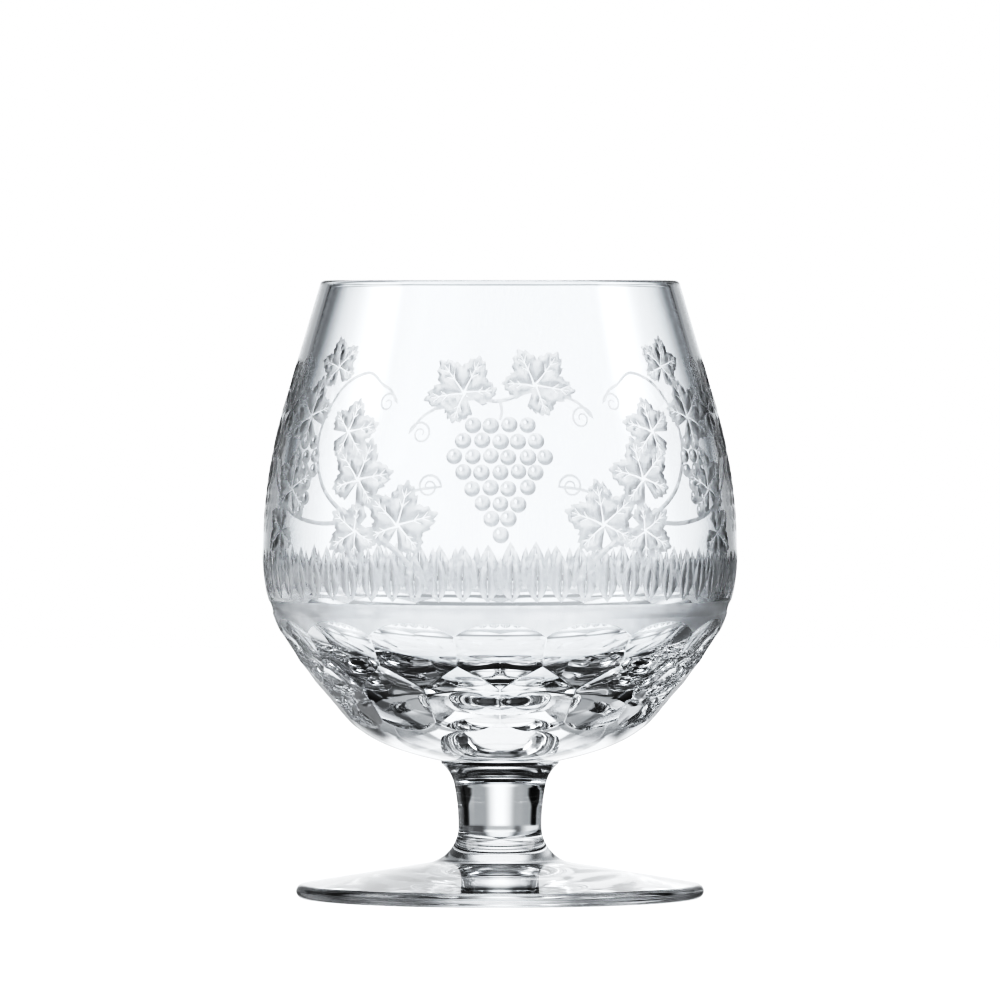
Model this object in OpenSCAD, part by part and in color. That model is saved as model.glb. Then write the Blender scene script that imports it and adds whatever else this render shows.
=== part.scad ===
// Cut crystal brandy snifter: a blown bowl, a drawn stem and a cast foot, fused one on the other.
// The axis is Z, the foot stands on the plane z = 0, and a lens cut of the upper row faces -Y.

/* [Bowl] */
// Height of the glass, from the table to the rim
height = 125; // [116:1:140]
// Largest outside diameter of the bowl
bowl_d = 96; // [90:1:104]
// Height of the widest ring above the table
belly_z = 69.4; // [66:0.2:74]
// Depth of the outside below the widest ring
bowl_drop = 42.8; // [41:0.1:45]
// Profile radius of the shoulder, above the widest ring
shoulder_r = 108; // [90:1:120]
// Lean of the straight wall below the rim, in degrees from the axis
wall_lean = 16.5; // [12:0.5:18]
// Profile radius of the flank, just below the widest ring
flank_r = 36; // [28:0.5:44]
// Lean of the flank where it runs into the cut band, in degrees from the axis
flank_lean = 10; // [8:0.5:11]
// Radius of the rounded base under the bowl
base_r = 62.5; // [58:0.5:68]
// Thickness of the wall from the rim down to the widest ring
wall = 2.2; // [1.6:0.1:3]
// Thickness of the glass under the hollow, on the axis
floor_t = 9.9; // [8:0.1:13]
// Profile radius of the hollow's flank, below the widest ring
hollow_flank_r = 25; // [22:0.5:27]

/* [Lens cuts] */
// Distance from the widest ring down to the top of the ground band
band_top_drop = 7.4; // [6.8:0.1:9]
// Diameter of the base at the bottom of the ground band
band_base_d = 50; // [46:0.5:52]
// Number of lens cuts in each of the two rows
cut_count = 15; // [12:1:18]
// Radius of the flat-edged wheel that cuts the upper row
flat_wheel_r = 60; // [50:5:90]
// Angle of the upper row's centres, in degrees below level, seen from the centre of the band's sphere
upper_cut_angle = 30.5; // [29:0.5:32]
// Depth of the upper row's cuts below the uncut surface
upper_cut_depth = 1.45; // [1.25:0.05:1.65]
// Radius of the convex wheel that cuts the lower row
wheel_r = 120; // [90:5:200]
// Angle of the lower row's centres, in degrees below level, seen from the centre of the band's sphere
lower_cut_angle = 41; // [40:0.5:42.5]
// Depth of the lower row's cuts below the uncut surface
lower_cut_depth = 1.45; // [1.25:0.05:1.65]

/* [Stem] */
// Diameter of the stem at its waist
waist_d = 16.8; // [14:0.2:20]
// Height of the waist above the table
waist_z = 14.5; // [13:0.5:16]
// Profile radius of the long hollow curve above the waist
stem_curve_r = 43.5; // [35:0.5:60]
// Distance from the bowl's lowest point down to the start of the collar
collar_drop = 3.8; // [3:0.1:4.5]
// Profile radius of the hollow curve under the collar
collar_curve_r = 7.5; // [6.5:0.1:9]
// Diameter of the collar's edge
collar_d = 23.8; // [21:0.2:26]

/* [Foot] */
// Diameter of the foot
foot_d = 82.6; // [74:0.2:92]
// Thickness of the foot's rounded edge
foot_edge_t = 2.9; // [2:0.1:4]
// Profile radius of the hollow curve from the stem into the foot
foot_curve_r = 7.5; // [6:0.1:9]
// Height above the table of the joint between the stem and the foot
foot_joint_z = 9.8; // [9.2:0.1:11]
// Width of the flat ring that the foot stands on
rest_ring_w = 5; // [3:0.5:10]
// Depth of the shallow cone hollowed out under the foot
hollow_depth = 0.8; // [0.4:0.1:1.5]

/* [Hidden] */
$fn = 180;

// Longer than any length of the glass, for half planes
far = 3 * (height + shoulder_r);
// The first cut of the upper row faces the viewer
front_angle = -90;
pitch = 360 / cut_count;
// How far a wheel reaches past the edge of its lens
lens_reach = 1.3;
glass_clear = [0.86, 0.91, 0.94, 0.45];

function point_at(centre, r, angle) = centre + r * [cos(angle), sin(angle)];
function arc(centre, r, from_angle, to_angle, steps) =
    [for (i = [0 : steps]) point_at(centre, r, from_angle + (to_angle - from_angle) * i / steps)];

belly_r = bowl_d / 2;
bottom_z = belly_z - bowl_drop;
shoulder_centre = [belly_r - shoulder_r, belly_z];
flank_centre = [belly_r - flank_r, belly_z];
base_centre = [0, bottom_z + base_r];

// The rim is a half round on the end of the straight wall, and its top is at the full height
wall_along = [-sin(wall_lean), cos(wall_lean)];
wall_start = point_at(shoulder_centre, shoulder_r - wall / 2, wall_lean);
rim_centre = wall_start + wall_along * (height - wall / 2 - wall_start.y) / wall_along.y;

// The flank runs straight on past the band, so that the band is ground out of spare glass
flank_end = point_at(flank_centre, flank_r, -flank_lean);
function on_flank(z) = flank_end - (flank_end.y - z) * [tan(flank_lean), 1];
spare_corner = on_flank(bottom_z);

// The band is ground to a sphere that runs through its top ring on the flank and its bottom ring on the base
band_top = on_flank(belly_z - band_top_drop);
band_low = [band_base_d / 2, base_centre.y - sqrt(base_r ^ 2 - band_base_d ^ 2 / 4)];
band_centre = [0, (band_top * band_top - band_low * band_low) / (2 * (band_top.y - band_low.y))];
band_r = norm(band_top - band_centre);

// The hollow below the widest ring: a flank arc and a base arc that meet smoothly
hollow_drop = bowl_drop - floor_t;
hollow_flank_centre = [belly_r - wall - hollow_flank_r, belly_z];
hollow_base_r = (hollow_flank_centre.x ^ 2 + hollow_drop ^ 2 - hollow_flank_r ^ 2)
    / (2 * (hollow_drop - hollow_flank_r));
hollow_base_centre = [0, belly_z - hollow_drop + hollow_base_r];
hollow_turn = atan2(hollow_base_r - hollow_drop, hollow_flank_centre.x);

// The stem's long curve runs from the waist up to the collar, which hangs from the bowl
stem_curve_centre = [waist_d / 2 + stem_curve_r, waist_z];
stem_curve_turn = asin((bottom_z - collar_drop - waist_z) / stem_curve_r);
collar_start = point_at(stem_curve_centre, stem_curve_r, 180 - stem_curve_turn);
collar_curve_centre = point_at(collar_start, collar_curve_r, -stem_curve_turn);
collar_turn = acos((collar_curve_centre.x - collar_d / 2) / collar_curve_r);

// The foot's cone is the line that touches the hollow curve from below and the rounded edge from above
foot_curve_centre = [waist_d / 2 + foot_curve_r, waist_z];
edge_r = foot_edge_t / 2;
edge_centre = [foot_d / 2 - edge_r, edge_r];
curve_to_edge = edge_centre - foot_curve_centre;
cone_angle = atan2(curve_to_edge.y, curve_to_edge.x) + asin((foot_curve_r + edge_r) / norm(curve_to_edge));
rest_ring_r = edge_centre.x - rest_ring_w;

module disc(centre, r) {
    translate(centre) circle(r = r);
}

// The bowl's profile before its base is rounded and its band is ground
bowl_blank = concat(
    [[0, bottom_z], spare_corner],
    arc(flank_centre, flank_r, -flank_lean, 0, 4),
    arc(shoulder_centre, shoulder_r, 0, wall_lean, 6),
    arc(rim_centre, wall / 2, wall_lean, wall_lean + 180, 10),
    arc(shoulder_centre, shoulder_r - wall, wall_lean, 0, 6),
    arc(hollow_flank_centre, hollow_flank_r, 0, -hollow_turn, 12),
    arc(hollow_base_centre, hollow_base_r, -hollow_turn, -90, 12)
);

module bowl_section() {
    difference() {
        intersection() {
            polygon(bowl_blank);
            disc(base_centre, base_r);
        }
        difference() {
            square([far, belly_z]);
            disc(band_centre, band_r);
        }
    }
}

// Half the size of the lens that a cut of this depth leaves, and some to spare: a curved wheel leaves a smaller one
function lens_half(depth, wheel_curve) = lens_reach * sqrt(2 * depth / (1 / band_r + wheel_curve));

// Brings the part of a wheel that does the cutting to its place on the band, clear of the glass around it
module held_to_band(angle, depth, across, along) {
    deepest = point_at(band_centre, band_r - depth, -angle);
    translate([deepest.x, 0, deepest.y]) rotate([0, angle, 0]) intersection() {
        children();
        translate([0, -across, -along]) cube([across, 2 * across, 2 * along]);
    }
}

// A lens of the upper row: the wheel's flat edge runs level, so the lens is straight across and has a low arch
module upper_cut() {
    across = lens_half(upper_cut_depth, 0);
    held_to_band(upper_cut_angle, upper_cut_depth, across, lens_half(upper_cut_depth, 1 / flat_wheel_r))
        translate([flat_wheel_r, 0, 0]) rotate([90, 0, 0])
            cylinder(r = flat_wheel_r, h = 3 * across, center = true);
}

// A lens of the lower row: a shallow round dish, of which the upper row leaves a shield
module lower_cut() {
    reach = lens_half(lower_cut_depth, 1 / wheel_r);
    held_to_band(lower_cut_angle, lower_cut_depth, reach, reach)
        translate([wheel_r, 0, 0]) sphere(r = wheel_r);
}

// The bowl after a number of cuts, taken one after another as on the wheel: the upper row, then the lower
module cut_bowl(cuts) {
    if (cuts == 0) {
        rotate_extrude() bowl_section();
    } else difference() {
        cut_bowl(cuts - 1);
        if (cuts <= cut_count)
            rotate([0, 0, front_angle + cuts * pitch]) upper_cut();
        else
            rotate([0, 0, front_angle + (cuts + 0.5) * pitch]) lower_cut();
    }
}

// Stem and foot in one profile: rounded edge, cone, hollow curve, waist, long curve and collar
stem_and_foot_blank = concat(
    [[0, 0]],
    arc(edge_centre, edge_r, -90, cone_angle + 90, 8),
    arc(foot_curve_centre, foot_curve_r, cone_angle + 270, 180, 10),
    arc(stem_curve_centre, stem_curve_r, 180 - stem_curve_turn / 4, 180 - stem_curve_turn, 3),
    arc(collar_curve_centre, collar_curve_r, 180 - stem_curve_turn, 180 - collar_turn, 6),
    [[collar_d / 2, base_centre.y], base_centre]
);

module bowl() {
    color(glass_clear) cut_bowl(2 * cut_count);
}

module stem() {
    color(glass_clear) rotate_extrude() difference() {
        polygon(stem_and_foot_blank);
        disc(base_centre, base_r);
        square([far, foot_joint_z]);
    }
}

module foot() {
    color(glass_clear) rotate_extrude() difference() {
        intersection() {
            polygon(stem_and_foot_blank);
            square([far, foot_joint_z]);
        }
        polygon([[0, 0], [rest_ring_r, 0], [0, hollow_depth]]);
    }
}

bowl();
stem();
foot();
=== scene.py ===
# %% [markdown]
# # A cut crystal brandy snifter
#
# The real glass is three gathers of hot crystal fused one on the other: a blown bowl, a drawn stem and a
# spun foot. Afterwards a cutter grinds two rows of shallow lenses round the lower part of the bowl and
# polishes them, and an engraver cuts a matt vine into the belly with small copper wheels.
#
# The CAD solids give the sizes and stay as the frame. Glass shows every flat of a mesh, so each piece is
# rebuilt here from its own arcs, with exact normals, and stands where its solid stands.

# %% Load the frame
import math
from functools import partial

import bpy
import numpy as np
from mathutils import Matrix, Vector, kdtree
from mathutils.geometry import delaunay_2d_cdt


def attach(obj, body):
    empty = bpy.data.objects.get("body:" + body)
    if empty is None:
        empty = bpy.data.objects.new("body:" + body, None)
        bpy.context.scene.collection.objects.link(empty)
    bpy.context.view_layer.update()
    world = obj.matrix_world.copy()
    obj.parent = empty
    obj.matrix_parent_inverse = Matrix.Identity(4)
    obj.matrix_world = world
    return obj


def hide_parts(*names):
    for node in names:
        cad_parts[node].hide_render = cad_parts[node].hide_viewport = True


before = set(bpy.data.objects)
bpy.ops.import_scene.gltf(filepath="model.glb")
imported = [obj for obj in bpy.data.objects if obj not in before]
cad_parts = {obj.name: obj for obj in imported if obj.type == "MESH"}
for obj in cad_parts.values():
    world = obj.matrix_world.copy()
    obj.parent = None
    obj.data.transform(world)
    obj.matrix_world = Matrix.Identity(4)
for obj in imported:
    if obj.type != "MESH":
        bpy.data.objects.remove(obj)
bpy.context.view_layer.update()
MM = 0.001

# %% [markdown]
# ## Camera
#
# The photograph is taken from far away with a long lens, about one degree downwards: the ellipses of the rim
# and the foot are nearly flat. Its 1000 pixels span 202.3 mm at the axis of the glass.

# %% Camera
CAMERA_PLACE = Vector((0.0, -2.4, 0.1258))
CAMERA_AIM = Vector((0.0, 0.0, 0.0805))
SPAN_AT_AXIS = 202.3 * MM
SENSOR_WIDTH = 36.0
scene = bpy.context.scene


def put_in_scene(name, data):
    """A new object at the origin, linked to the scene."""
    made = bpy.data.objects.new(name, data)
    scene.collection.objects.link(made)
    return made


sight = CAMERA_AIM - CAMERA_PLACE
lens_camera = bpy.data.cameras.new("product_camera")
lens_camera.sensor_width = SENSOR_WIDTH
lens_camera.lens = SENSOR_WIDTH * sight.length / SPAN_AT_AXIS
lens_camera.clip_start = 0.05
lens_camera.clip_end = 50.0
scene.camera = put_in_scene("product_camera", lens_camera)
scene.camera.location = CAMERA_PLACE
scene.camera.rotation_euler = sight.to_track_quat("-Z", "Y").to_euler()
print("lens in mm:", round(lens_camera.lens, 1))

# %% [markdown]
# ## Profiles from arcs
#
# Everything turned is a profile of arcs and straight lines, drawn in millimetres in a plane of radius and
# height. The helpers below give the points of such lines together with their normals.
#
# A normal is kept as three parts: away from the axis, along the turn, and up. Those parts stay the same when
# a slice is turned round the axis, so a slice can carry them and still be repeated.

# %% Arcs and normals
def unit(angle):
    """Direction in the profile plane from an angle in degrees, or directions from a row of angles."""
    turn = np.radians(angle)
    return np.stack([np.cos(turn), np.sin(turn)], axis=-1)


def unit_length(vectors):
    """Vectors made one long."""
    return vectors / np.linalg.norm(vectors, axis=-1, keepdims=True)


def swung(profile, turn):
    """Places in space of points of the profile plane, swung round the axis by angles in radians."""
    radius, height = profile[..., 0], profile[..., 1]
    return np.stack(np.broadcast_arrays(radius * np.cos(turn), radius * np.sin(turn), height), axis=-1)


def spun(vectors, turn):
    """Vectors in space, turned round the axis by angles in radians."""
    x, y, z = np.moveaxis(vectors, -1, 0)
    cos, sin = np.cos(turn), np.sin(turn)
    return np.stack([x * cos - y * sin, x * sin + y * cos, z], axis=-1)


def arc_points(centre, radius, start, end, steps):
    """Points along an arc and the directions away from its centre."""
    away = unit(np.linspace(start, end, steps + 1))
    return centre + radius * away, away


def hollow_arc(*arc):
    """The same for a hollow curve, whose normals point to its centre."""
    points, away = arc_points(*arc)
    return points, -away


def straight_points(start, end, away, steps):
    """Points along a straight line, all with one normal."""
    share = np.linspace(0.0, 1.0, steps + 1)
    return np.outer(1 - share, start) + np.outer(share, end), np.tile(away, (steps + 1, 1))


def blended_points(start, start_angle, end, end_angle, steps):
    """Points and normals of a smooth curve between two arcs, from the places and normals at its ends."""
    share = np.linspace(0.0, 1.0, steps + 1)[:, None]
    square, cube = share ** 2, share ** 3
    chord = np.linalg.norm(end - start)
    leave, arrive = unit(start_angle + 90) * chord, unit(end_angle + 90) * chord
    points = ((2 * cube - 3 * square + 1) * start + (cube - 2 * square + share) * leave
              + (3 * square - 2 * cube) * end + (cube - square) * arrive)
    along = ((6 * square - 6 * share) * start + (3 * square - 4 * share + 1) * leave
             + (6 * share - 6 * square) * end + (3 * square - 2 * share) * arrive)
    return points, unit_length(np.stack([along[:, 1], -along[:, 0]], 1))


# %% [markdown]
# ## Slices
#
# A slice is a stack of patches. Each patch is a grid of points, with one normal for each point and a number
# that says which finish it has. The patches are welded where they meet when the slice is repeated.

# %% Patches of a slice
FINISH_NAMES = ("Clear", "Engraved", "Joint", "Lens")
CLEAR, ENGRAVED, JOINT, LENS = range(4)


def grid_patch(place, normal, finish):
    """A patch from grids of places and normals: rows run upwards, columns run round the axis."""
    rows, cols = place.shape[:2]
    index = np.arange(rows * cols).reshape(rows, cols)
    corners = [index[:-1, :-1], index[:-1, 1:], index[1:, 1:], index[1:, :-1]]
    faces = np.stack(corners, axis=-1).reshape(-1, 4)
    return {
        "place": place.reshape(-1, 3),
        "faces": faces,
        "normal": normal.reshape(-1, 3)[faces],
        "finish": np.full(len(faces), finish),
    }


def turned_patches(angles, *sweeps):
    """Patches swept over a row of angles in degrees, each from a finish, a profile and its normals."""
    turn = np.radians(angles)
    return [grid_patch(swung(points[:, None], turn), swung(normals[:, None], 0 * turn), finish)
            for finish, (points, normals) in sweeps]


def patches_to_mesh(name, patches):
    """One mesh of all patches, in metres, with the finish and the turned normals as attributes."""
    firsts = np.cumsum([0] + [len(p["place"]) for p in patches])
    faces = [face for p, first in zip(patches, firsts) for face in (p["faces"] + first).tolist()]
    place, normals, finish = (
        np.concatenate([p[key].ravel() for p in patches]) for key in ("place", "normal", "finish"))
    mesh = bpy.data.meshes.new(name)
    mesh.from_pydata(place.reshape(-1, 3) * MM, [], faces)
    mesh.attributes.new("finish", "INT", "FACE").data.foreach_set("value", finish.astype(np.int32))
    kept = mesh.attributes.new("turned_normal", "FLOAT_VECTOR", "CORNER")
    kept.data.foreach_set("vector", normals.astype(np.float32))
    return mesh


# %% [markdown]
# ## Bowl profile
#
# From below: a rounded base, the ground band, a nearly straight flank, the belly, a long shoulder, a straight
# wall, the half-round rim, and then down inside to the floor. The numbers are those of the solids.

# %% Bowl arcs
BELLY = np.array([48.0, 69.4])
BOTTOM_Z, HEIGHT = 26.6, 125.0
SHOULDER_R, WALL_LEAN = 108.0, 16.5
FLANK_R, FLANK_LEAN = 36.0, 10.0
BASE_R, WALL, FLOOR_T = 62.5, 2.2, 9.9
HOLLOW_FLANK_R = 25.0
BAND_TOP_DROP, BAND_BASE_R = 7.4, 25.0

shoulder_centre = BELLY - [SHOULDER_R, 0.0]
flank_centre = BELLY - [FLANK_R, 0.0]
base_centre = np.array([0.0, BOTTOM_Z + BASE_R])
flank_end = flank_centre + FLANK_R * unit(-FLANK_LEAN)
flank_slope = math.tan(math.radians(FLANK_LEAN))
band_top_z = BELLY[1] - BAND_TOP_DROP
band_top = np.array([flank_end[0] - (flank_end[1] - band_top_z) * flank_slope, band_top_z])
band_low = np.array([BAND_BASE_R, base_centre[1] - math.sqrt(BASE_R ** 2 - BAND_BASE_R ** 2)])
band_centre_z = (band_top @ band_top - band_low @ band_low) / (2 * (band_top[1] - band_low[1]))
band_centre = np.array([0.0, band_centre_z])
band_r = np.linalg.norm(band_top - band_centre)

wall_out = unit(WALL_LEAN)
wall_along = unit(WALL_LEAN + 90)
wall_middle = shoulder_centre + (SHOULDER_R - WALL / 2) * wall_out
rim_centre = wall_middle + wall_along * (HEIGHT - WALL / 2 - wall_middle[1]) / wall_along[1]

hollow_flank_centre = BELLY - [WALL + HOLLOW_FLANK_R, 0.0]
hollow_drop = BELLY[1] - BOTTOM_Z - FLOOR_T
hollow_base_r = (hollow_flank_centre[0] ** 2 + hollow_drop ** 2 - HOLLOW_FLANK_R ** 2) / (
    2 * (hollow_drop - HOLLOW_FLANK_R))
hollow_base_centre = np.array([0.0, BELLY[1] - hollow_drop + hollow_base_r])
hollow_turn = math.degrees(math.atan2(hollow_base_r - hollow_drop, hollow_flank_centre[0]))
print("band sphere: centre", band_centre.round(2), "radius", band_r.round(2), "rim", rim_centre.round(2))

# %% [markdown]
# ## Lens band
#
# The upper row is cut with the flat edge of a wheel, which leaves lenses that are straight across and have a
# low arch. The lower row is cut with a large convex wheel, which leaves shallow dishes. A boolean cut would
# leave ragged triangles along the ridges where two cuts meet, and glass shows them. Seen from the centre of
# the band, though, the ridges are simple lines: for every angle round the axis there is one height where the
# band meets the upper cut, one where the upper meets the lower, and one where the lower runs out. So the band
# is a grid whose rows follow those lines.
#
# Polishing rounds the ridges a little, and that thin rounding draws each facet's outline. A narrow row and
# column of faces along every ridge carries it, with the mean of both sides' normals on the ridge itself.

# %% Wheels of the lens cutter
CUT_COUNT, LENS_STEPS = 15, 8
UPPER_ANGLE, LOWER_ANGLE = 30.5, 41.0
RIDGE_ROUND = 0.22
MISSED = 1000.0
PITCH = 360.0 / CUT_COUNT

ridge_turn = math.degrees(RIDGE_ROUND / (band_r * math.cos(math.radians(UPPER_ANGLE))))
even_turns = np.linspace(0.0, PITCH / 2, LENS_STEPS + 1)
half_turn = np.sort(np.concatenate([even_turns, [ridge_turn, PITCH / 2 - ridge_turn]]))
pitch_turn = np.concatenate([-half_turn[:0:-1], half_turn])


def direction(turn, below):
    """Unit vectors from the band's centre, from angles in degrees round the axis and below level."""
    return swung(unit(-np.asarray(below)), np.radians(turn))


def wheel(radius, depth, turn, below, round_axes):
    """A wheel's centre, its radius, and the axes it is round in: a flat edge is straight along Y."""
    return (band_r - depth + radius) * direction(turn, below), radius, np.array(round_axes)


WHEELS = {
    "upper": wheel(60.0, 1.45, 0.0, UPPER_ANGLE, (1.0, 0.0, 1.0)),
    "lower": wheel(120.0, 1.45, PITCH / 2, LOWER_ANGLE, (1.0, 1.0, 1.0)),
}


def band_reach(rays, row):
    """Distance from the band's centre to the uncut band or to a row's wheel, or far away where it misses."""
    if row == "uncut":
        return np.full(rays.shape[:-1], band_r)
    centre, radius, axes = WHEELS[row]
    along, slant = rays @ centre, rays ** 2 @ axes
    room = along ** 2 - slant * (centre @ centre - radius ** 2)
    return np.where(room > 0, (along - np.sqrt(np.maximum(room, 0))) / slant, MISSED)


def band_normal(place, rays, row):
    """Normals of the uncut band, or of a row of cuts, at places seen from the band's centre."""
    if row == "uncut":
        return rays
    centre, radius, axes = WHEELS[row]
    return (centre - place * axes) / radius


def cut_line(clear, cut, clear_row, cut_row):
    """Angle below level where one row cuts into another, for each angle of half a lens, by halving."""
    clear, cut = np.full(half_turn.shape, clear), np.full(half_turn.shape, cut)
    for _ in range(50):
        middle = (clear + cut) / 2
        rays = direction(half_turn, middle)
        hit = band_reach(rays, cut_row) < band_reach(rays, clear_row)
        clear, cut = np.where(hit, clear, middle), np.where(hit, middle, cut)
    return (clear + cut) / 2


# %% Rows of the lens band
ARCH_START, BLEND_ANGLE = 19.2, 55.5
ABOVE_CUTS, BELOW_CUTS, PAST_ROW = 10.0, 70.0, 6.0
arch_line = cut_line(ABOVE_CUTS, UPPER_ANGLE, "uncut", "upper")
foot_line = cut_line(BELOW_CUTS, LOWER_ANGLE, "uncut", "lower")
ridge_line = cut_line(UPPER_ANGLE - PAST_ROW, LOWER_ANGLE + PAST_ROW, "upper", "lower")
for name, line in (("arch", arch_line), ("ridge", ridge_line), ("foot", foot_line)):
    print(name, "of a lens, in degrees below level:", line.round(1)[[0, -1]])


def band_zone(low_line, high_line, rows, row_cut, below_it, above_it):
    """Places and normals of one zone of the band, for half a lens, from its lower line up to its upper."""
    low_line, high_line = (np.broadcast_to(line, half_turn.shape) for line in (low_line, high_line))
    margin = RIDGE_ROUND / (band_r * np.radians(low_line - high_line))
    inner = margin + np.linspace(0.0, 1.0, rows - 1)[:, None] * (1 - 2 * margin)
    share = np.vstack([0 * margin, inner, 0 * margin + 1])
    below = low_line * (1 - share) + high_line * share
    turn = np.broadcast_to(half_turn, below.shape)
    rays = direction(turn, below)
    place = rays * band_reach(rays, row_cut)[..., None]
    normal = np.array(band_normal(place, rays, row_cut))
    for row, neighbour in ((0, below_it), (-1, above_it)):
        normal[row] = unit_length(normal[row] + band_normal(place[row], rays[row], neighbour))
    normal = spun(normal, -np.radians(turn))
    normal[:, [0, -1], 1] = 0.0
    return place + [0.0, 0.0, band_centre_z], unit_length(normal)


def mirrored(place, normal):
    """The same zone on the other side of the lens, with its columns turned round so that faces point out."""
    flip = np.array([1.0, -1.0, 1.0])
    return place[:, ::-1] * flip, normal[:, ::-1] * flip


# %% The lens band of one slice
FRONT = -90.0
ZONES = [
    (BLEND_ANGLE, foot_line, 5, "uncut", "uncut", "lower", CLEAR),
    (foot_line, ridge_line, 18, "lower", "uncut", "upper", LENS),
    (ridge_line, arch_line, 20, "upper", "lower", "uncut", LENS),
    (arch_line, ARCH_START, 5, "uncut", "upper", "uncut", ENGRAVED),
]
band_patches = []
for *zone, finish in ZONES:
    half_lens = band_zone(*zone)
    for place, normal in (half_lens, mirrored(*half_lens)):
        band_patches.append(grid_patch(spun(place, math.radians(FRONT)), normal, finish))
print("lens band slice:", sum(len(p["faces"]) for p in band_patches), "faces")

# %% [markdown]
# ## Outer wall, unrolled
#
# From just above the lens arches up to the rim, the outside of the bowl carries the engraving. The cuts have
# real depth and a matt finish that stops sharply at their edge, so their outlines have to be in the mesh. The
# wall is unrolled for it: one axis is the way round at the belly, the other is the length along the profile.
# The drawing is made on that flat sheet, triangulated, and rolled up again.

# %% The wall's profile by its length
ROUND_R = BELLY[0]
WALL_SAMPLES = 4000
band_top_angle = math.degrees(math.atan2(band_centre_z - band_top_z, band_top[0]))
wall_top = rim_centre + WALL / 2 * wall_out
wall_bend = shoulder_centre + SHOULDER_R * wall_out
LEGS = [
    math.radians(ARCH_START - band_top_angle) * band_r,
    np.linalg.norm(flank_end - band_top),
    math.radians(FLANK_LEAN) * FLANK_R,
    math.radians(WALL_LEAN) * SHOULDER_R,
    np.linalg.norm(wall_top - wall_bend),
]
CREASE, FLANK_TOP, BELLY_LINE, SHOULDER_TOP, WALL_TOP = np.cumsum(LEGS)


def wall_at(length, below_crease):
    """Place and normal of the outer wall in the profile plane, at lengths along its profile."""
    zones = [below_crease, length <= FLANK_TOP, length <= BELLY_LINE, length <= SHOULDER_TOP]
    away = unit(np.select(zones, [
        -ARCH_START + np.degrees(length / band_r),
        -FLANK_LEAN + 0 * length,
        -FLANK_LEAN + np.degrees((length - FLANK_TOP) / FLANK_R),
        np.degrees((length - BELLY_LINE) / SHOULDER_R),
    ], WALL_LEAN))
    flank_share = np.clip((length - CREASE) / LEGS[1], 0, 1)[..., None]
    wall_share = np.clip((length - SHOULDER_TOP) / LEGS[4], 0, 1)[..., None]
    place = np.select([zone[..., None] for zone in zones], [
        band_centre + band_r * away,
        band_top * (1 - flank_share) + flank_end * flank_share,
        flank_centre + FLANK_R * away,
        shoulder_centre + SHOULDER_R * away,
    ], wall_bend * (1 - wall_share) + wall_top * wall_share)
    return place, away


table_length = np.linspace(0.0, WALL_TOP, WALL_SAMPLES)
table_radius, table_height = wall_at(table_length, table_length < CREASE)[0].T


def length_at(height):
    """Length along the profile at a height in mm."""
    return np.interp(height, table_height, table_length)


def radius_at(height):
    """Radius of the outer wall at a height in mm."""
    return np.interp(height, table_height, table_radius)


print("wall profile in mm:", WALL_TOP.round(1), "from height", table_height[0].round(1))

# %% [markdown]
# ## Engraved vine
#
# A copper wheel makes a few kinds of cut: the olive, a pointed oval; the round, for berries; and the line,
# which swells and tapers. The drawing below is a common grape vine put together from those cuts. Every cut is
# an outline on the unrolled sheet. Clear outlines, such as veins, are taken out of the matt ones.

# %% Kinds of cut
hand = np.random.default_rng(11)
matt_cuts = []
clear_lines = []


def on_sheet(azimuth, height):
    """A point of the unrolled sheet, from an angle from the front and a height."""
    return np.array([math.radians(azimuth) * ROUND_R, length_at(height)])


def put(points, azimuth, height, target):
    """Places an outline, drawn in mm about its own origin, at an angle from the front and a height."""
    target.append(on_sheet(azimuth, height) + points * [ROUND_R / radius_at(height), 1.0])


def pairs(x, y):
    """Points from rows or grids of their coordinates, or from a row and one number."""
    return np.stack([part.ravel() for part in np.broadcast_arrays(x, y)], axis=1)


def turned(points, angle):
    """Outline turned by an angle in degrees."""
    cos, sin = unit(angle)
    return points @ np.array([[cos, sin], [-sin, cos]])


def olive(length, width, steps, heavy=0.0):
    """A pointed oval from the origin along +X. A positive heavy end is fuller towards its tip."""
    share = np.linspace(-1.0, 1.0, steps)
    half = width / 2 * (1 - share ** 2) * (1 + heavy * share)
    middle = (share + 1) / 2 * length
    return np.concatenate([pairs(middle, -half), pairs(middle, half)[-2:0:-1]])


def swelling_line(points, thick, thin):
    """A line through points that tapers from thick to thin, as a closed outline."""
    ahead = np.gradient(points, axis=0)
    side = unit_length(pairs(-ahead[:, 1], ahead[:, 0]))
    half = np.linspace(thick, thin, len(points))[:, None] / 2
    return np.concatenate([points - side * half, (points + side * half)[::-1]])


def smooth_path(points, steps):
    """A smooth curve through points, sampled evenly between them."""
    points = np.asarray(points, float)
    padded = np.vstack([2 * points[0] - points[1], points, 2 * points[-1] - points[-2]])
    t = np.linspace(0, 1, steps, endpoint=False)[:, None]
    curve = [
        0.5 * (2 * b + (c - a) * t + (2 * a - 5 * b + 4 * c - d) * t ** 2 + (3 * b - a - 3 * c + d) * t ** 3)
        for a, b, c, d in zip(padded, padded[1:], padded[2:], padded[3:])]
    return np.vstack(curve + [points[-1]])


# %% [markdown]
# A vine leaf has five lobes with toothed edges. Seen from the point where its stalk ends, its edge has one
# distance for each direction: the largest of five pointed bumps, one for each lobe, with small teeth on top.
# Its veins run from the same point to the tips.

# %% Leaves, berries and tendrils
LOBES = [(90, 1.0, 37), (29, 0.95, 35), (151, 0.95, 35), (-33, 0.76, 33), (213, 0.76, 33)]
TWIGS = [(0.42, 38), (0.42, -38), (0.63, 34), (0.63, -34)]
SINUS, TOOTH, WOBBLE = 0.56, 0.045, 0.015
ROW_PITCH, BERRY_PITCH, LOOSE = 1.78, 2.06, 0.1
TENDRIL = 0.62


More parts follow.
